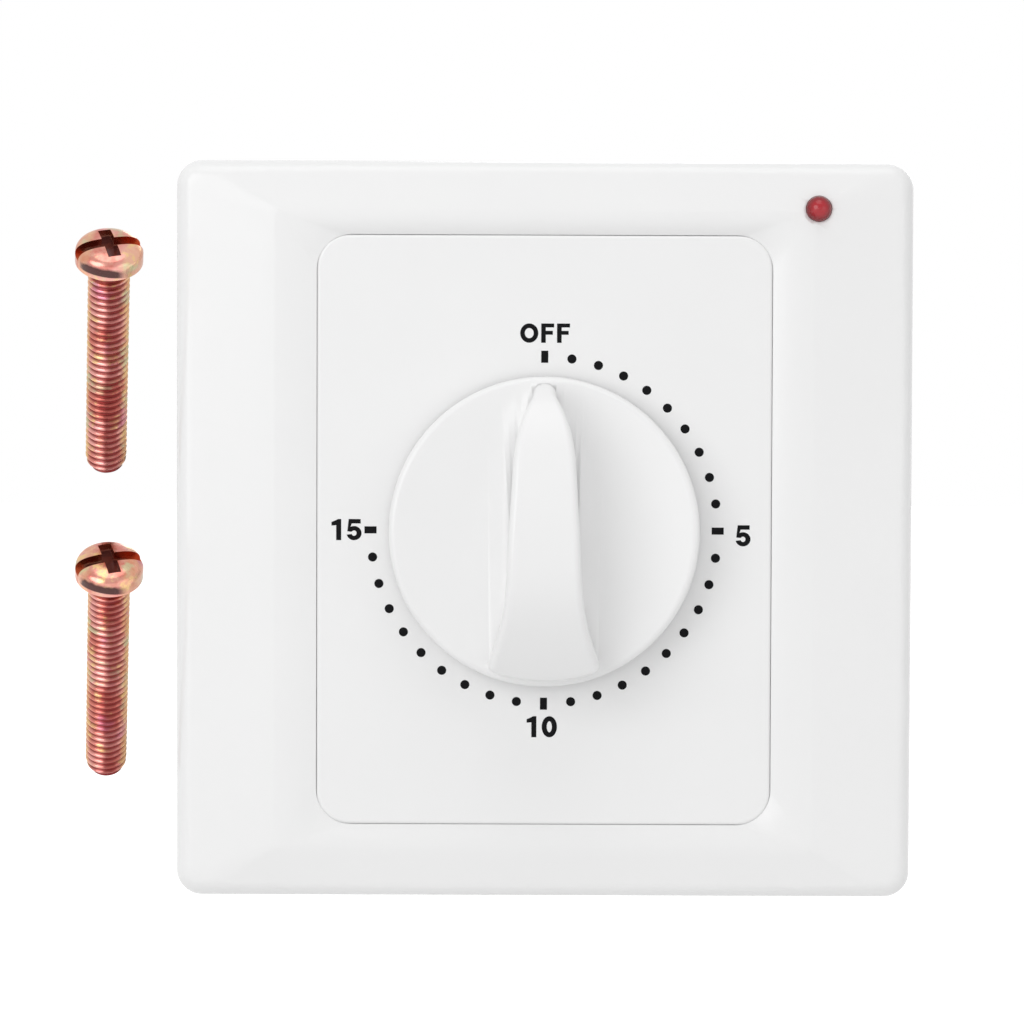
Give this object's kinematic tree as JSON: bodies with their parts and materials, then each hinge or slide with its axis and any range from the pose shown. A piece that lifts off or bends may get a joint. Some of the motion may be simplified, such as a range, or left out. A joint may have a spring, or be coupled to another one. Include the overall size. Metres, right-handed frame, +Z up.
{
  "type": "timer light switch",
  "caption": "Clockwork countdown timer light switch on a square white wall plate, with a pointer knob, a printed 15 minute scale, a red indicator lamp and its wall box screws.",
  "frame": {"origin": "middle of the plate on the wall's surface, midway between the two fixing slots", "axes": "+X right as seen from the room, +Z up, +Y into the wall"},
  "size_m": [0.0971, 0.058, 0.086],
  "materials": {
    "white_frame": "glossy white moulded plastic",
    "white_panel": "glossy white moulded plastic with a dark grey printed scale",
    "white_knob": "glossy white moulded plastic",
    "grey_base": "matt light grey moulded plastic",
    "black_housing": "matt black moulded thermoset",
    "red_lamp": "clear red lamp body",
    "yellow_zinc": "steel with iridescent yellow zinc plating",
    "steel": "bright zinc plated steel",
    "spring_steel": "blued spring steel",
    "brass": "machined brass",
    "copper_strip": "phosphor bronze strip",
    "silver": "silver alloy contact faces",
    "tinned_wire": "tinned lead wire",
    "board": "brown paper laminate board",
    "resistor_body": "beige lacquered resistor with colour rings",
    "diode_body": "black moulded diode with a light ring",
    "wire_insulation": "red wire insulation"
  },
  "bodies": {
    "switch": {"front_frame": "white_frame", "dial_panel": "white_panel", "indicator_led": "red_lamp", "mounting_screws": "yellow_zinc", "base_plate": "grey_base", "led_leads": "tinned_wire", "led_board": "board", "dropper_resistor": "resistor_body", "rectifier_diode": "diode_body", "indicator_wires": "wire_insulation", "front_movement_plate": "brass", "rear_movement_plate": "brass", "plate_pillars": "steel", "pillar_nuts": "steel", "movement_screws": "steel", "shaft_bush": "brass", "mainspring": "spring_steel", "spring_post": "steel", "stop_pins": "steel", "moving_contact": "copper_strip", "fixed_contact": "copper_strip", "contact_rivets": "silver", "line_terminal": "brass", "load_terminal": "brass", "terminal_screws": "steel", "rear_housing": "black_housing", "housing_screws": "steel"},
    "knob_and_shaft": {"knob": "white_knob", "knob_clip": "spring_steel", "main_shaft": "steel", "retaining_ring": "spring_steel", "main_wheel": "brass", "clutch_washer": "spring_steel", "clutch_collar": "steel", "cam": "grey_base"},
    "second_group": {"second_arbor": "steel", "second_pinion": "steel", "second_wheel": "brass"},
    "third_group": {"third_arbor": "steel", "third_pinion": "steel", "third_wheel": "brass"},
    "escape_group": {"escape_arbor": "steel", "escape_pinion": "steel", "escape_wheel": "brass"},
    "verge_group": {"verge_arbor": "steel", "verge": "steel", "inertia_bar": "brass"}
  },
  "joints": [
    {"name": "knob_turn", "type": "hinge", "parent": "switch", "child": "knob_and_shaft", "pos_m": [0, 0, 0], "axis": [0, 1, 0], "range_deg": [0, 270], "deforming": ["mainspring", "moving_contact"]},
    {"name": "second_wheel_turn", "type": "hinge", "parent": "switch", "child": "second_group", "pos_m": [-0.0105, 0, -0.014], "axis": [0, 1, 0], "range_deg": [-1620, 0]},
    {"name": "third_wheel_turn", "type": "hinge", "parent": "switch", "child": "third_group", "pos_m": [0.00319, 0, -0.01691], "axis": [0, 1, 0], "range_deg": [0, 9720]},
    {"name": "escape_wheel_turn", "type": "hinge", "parent": "switch", "child": "escape_group", "pos_m": [0.01355, 0, -0.01314], "axis": [0, 1, 0], "range_deg": [-58320, 0]},
    {"name": "verge_rock", "type": "hinge", "parent": "switch", "child": "verge_group", "pos_m": [0.01701, 0, -0.004], "axis": [0, 1, 0], "range_deg": [-4, 4]}
  ],
  "couplings": [
    {"joint": "second_wheel_turn", "follows": "knob_turn", "ratio": -6},
    {"joint": "third_wheel_turn", "follows": "knob_turn", "ratio": 36},
    {"joint": "escape_wheel_turn", "follows": "knob_turn", "ratio": -216}
  ]
}
